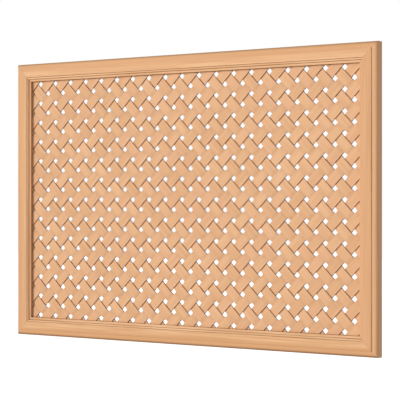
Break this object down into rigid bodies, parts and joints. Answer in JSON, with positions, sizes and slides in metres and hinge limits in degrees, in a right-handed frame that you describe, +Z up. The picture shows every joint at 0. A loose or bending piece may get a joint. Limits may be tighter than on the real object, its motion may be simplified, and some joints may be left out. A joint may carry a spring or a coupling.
{
  "type": "radiator screen",
  "caption": "Flat radiator screen: a mitred, moulded wood frame round a diagonally woven panel of flat wood strips, with steel hooks to hang it on a radiator.",
  "frame": {"origin": "middle of the frame's bottom edge, half way through its thickness", "axes": "-Y is the front, with the moulding and the woven panel's face; +X is to the right as seen from the front; +Z is up"},
  "size_m": [0.9, 0.0752, 0.6],
  "materials": {
    "frame_wood": "clear satin lacquer over pale wood with a fine straight grain",
    "rising_wood": "pale wood strip, satin",
    "falling_wood": "pale wood strip, satin",
    "hidden_wood": "raw wood",
    "steel": "zinc plated",
    "felt": "dense felt"
  },
  "bodies": {
    "frame": {"bottom_bead": "frame_wood", "bottom_left_spline": "hidden_wood", "bottom_rail": "frame_wood", "bottom_right_spline": "hidden_wood", "falling_strip_01": "falling_wood", "falling_strip_02": "falling_wood", "falling_strip_03": "falling_wood", "falling_strip_04": "falling_wood", "falling_strip_05": "falling_wood", "falling_strip_06": "falling_wood", "falling_strip_07": "falling_wood", "falling_strip_08": "falling_wood", "falling_strip_09": "falling_wood", "falling_strip_10": "falling_wood", "falling_strip_11": "falling_wood", "falling_strip_12": "falling_wood", "falling_strip_13": "falling_wood", "falling_strip_14": "falling_wood", "falling_strip_15": "falling_wood", "falling_strip_16": "falling_wood", "falling_strip_17": "falling_wood", "falling_strip_18": "falling_wood", "falling_strip_19": "falling_wood", "falling_strip_20": "falling_wood", "falling_strip_21": "falling_wood", "falling_strip_22": "falling_wood", "falling_strip_23": "falling_wood", "falling_strip_24": "falling_wood", "falling_strip_25": "falling_wood", "falling_strip_26": "falling_wood", "falling_strip_27": "falling_wood", "falling_strip_28": "falling_wood", "falling_strip_29": "falling_wood", "falling_strip_30": "falling_wood", "falling_strip_31": "falling_wood", "falling_strip_32": "falling_wood", "left_bead": "frame_wood", "left_hook_left_screw": "steel", "left_hook_right_screw": "steel", "left_pad": "felt", "left_stile": "frame_wood", "right_bead": "frame_wood", "right_hook_left_screw": "steel", "right_hook_right_screw": "steel", "right_pad": "felt", "right_stile": "frame_wood", "rising_strips": "rising_wood", "top_bead": "frame_wood", "top_left_spline": "hidden_wood", "top_rail": "frame_wood", "top_right_spline": "hidden_wood"},
    "left_hook": {"left_hook": "steel"},
    "right_hook": {"right_hook": "steel"}
  },
  "joints": [
    {"name": "left_hook_height", "type": "slide", "parent": "frame", "child": "left_hook", "axis": [0, 0, 1], "range_m": [-0.007, 0.007]},
    {"name": "right_hook_height", "type": "slide", "parent": "frame", "child": "right_hook", "axis": [0, 0, 1], "range_m": [-0.007, 0.007]}
  ]
}
